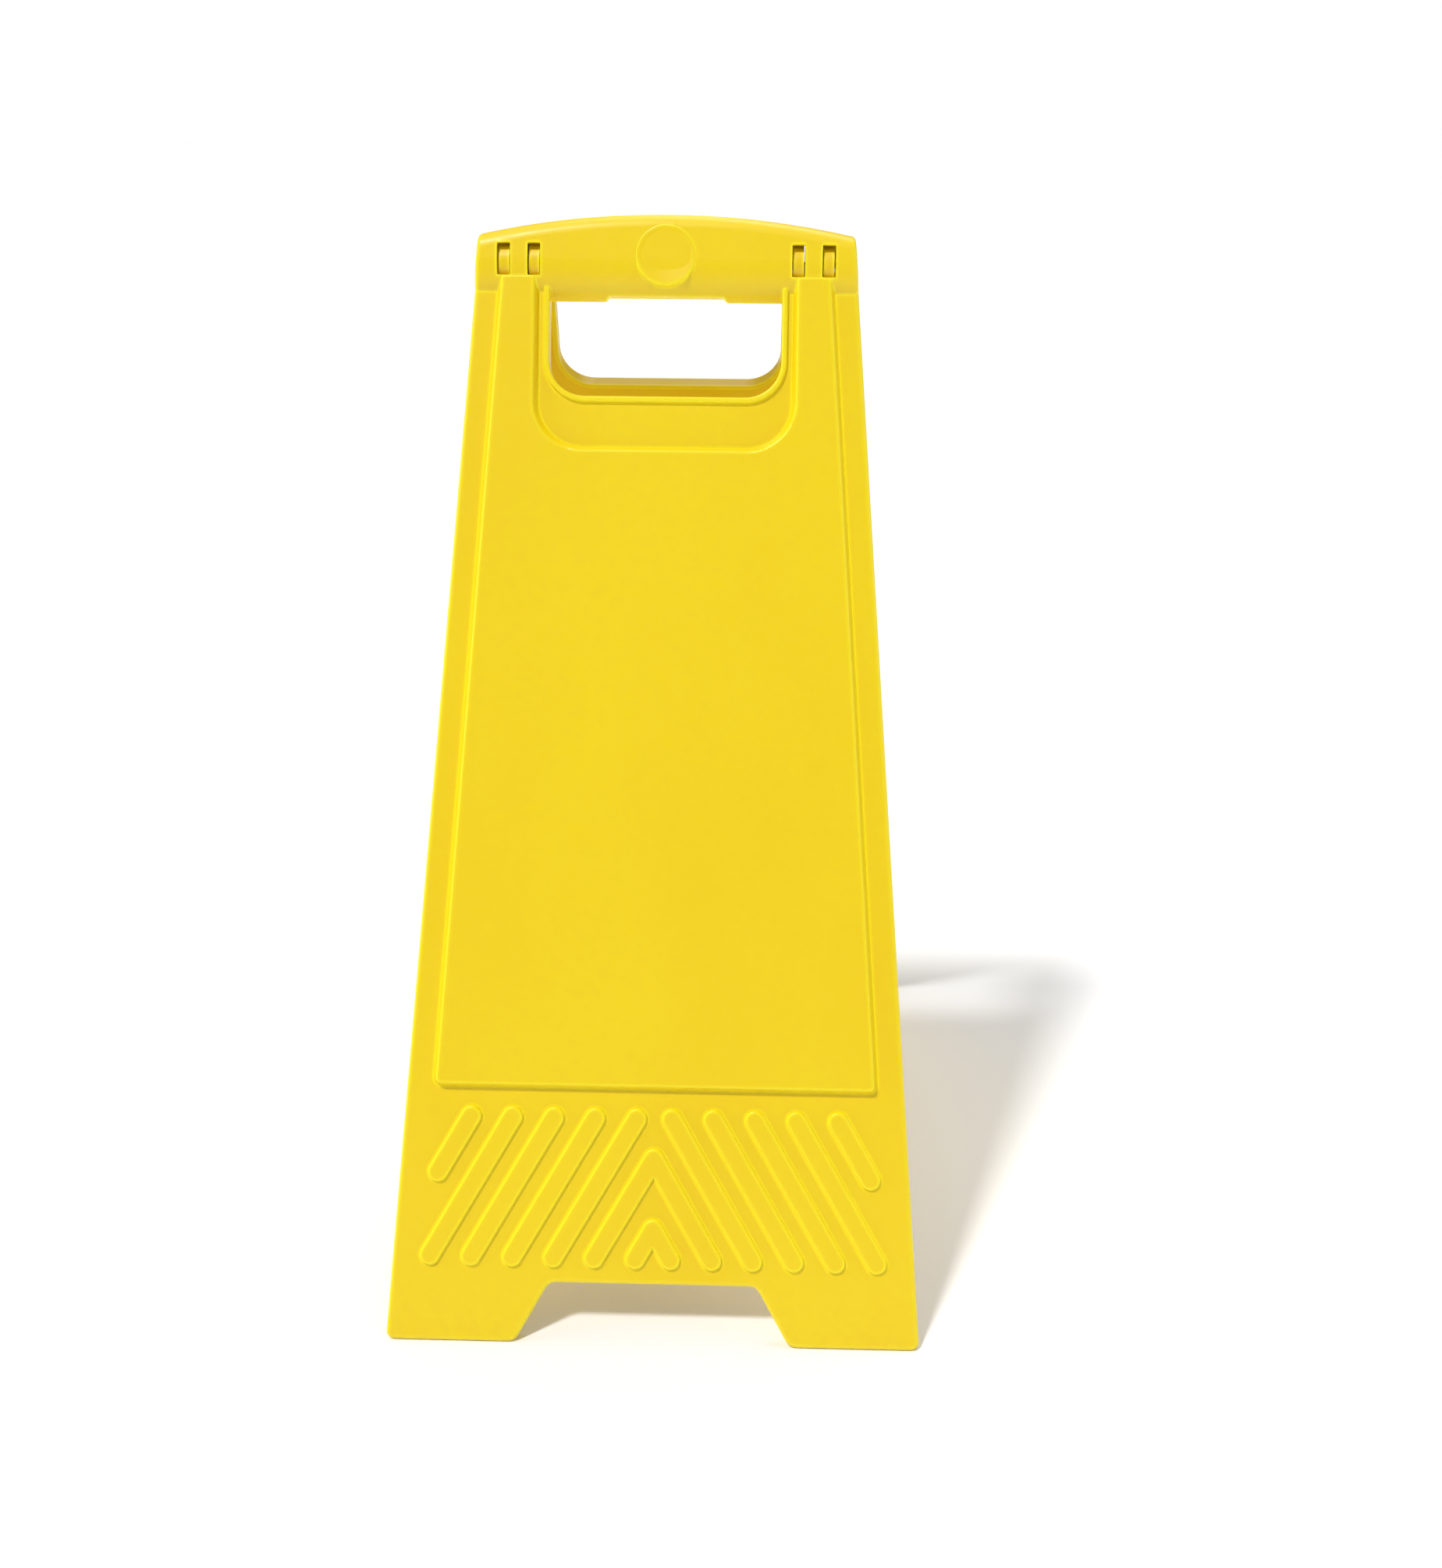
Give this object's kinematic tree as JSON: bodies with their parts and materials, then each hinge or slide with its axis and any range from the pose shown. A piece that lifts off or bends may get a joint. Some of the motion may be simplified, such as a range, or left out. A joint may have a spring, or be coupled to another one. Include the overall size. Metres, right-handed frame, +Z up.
{
  "type": "floor sign",
  "caption": "Blank folding A-frame floor sign: two ribbed plastic panels hinged inside a round carry handle, with a hand hole and cut-out feet.",
  "frame": {"origin": "on the floor, midway between the feet of the open sign", "axes": "+Z up; the front panel faces -Y; +X to the right seen from the front; the hinge axis is along X"},
  "size_m": [0.3042, 0.4318, 0.6],
  "materials": {
    "front_panel": "satin yellow polypropylene",
    "rear_panel": "satin yellow polypropylene",
    "hinge_pin": "plain zinc-plated steel"
  },
  "bodies": {
    "front": {"front_panel": "front_panel", "hinge_pin_left": "hinge_pin", "hinge_pin_right": "hinge_pin"},
    "rear": {"rear_panel": "rear_panel"}
  },
  "joints": [
    {"name": "fold", "type": "hinge", "parent": "front", "child": "rear", "pos_m": [0, 0, 0.57249], "axis": [-1, 0, 0], "range_deg": [0, 40]}
  ]
}
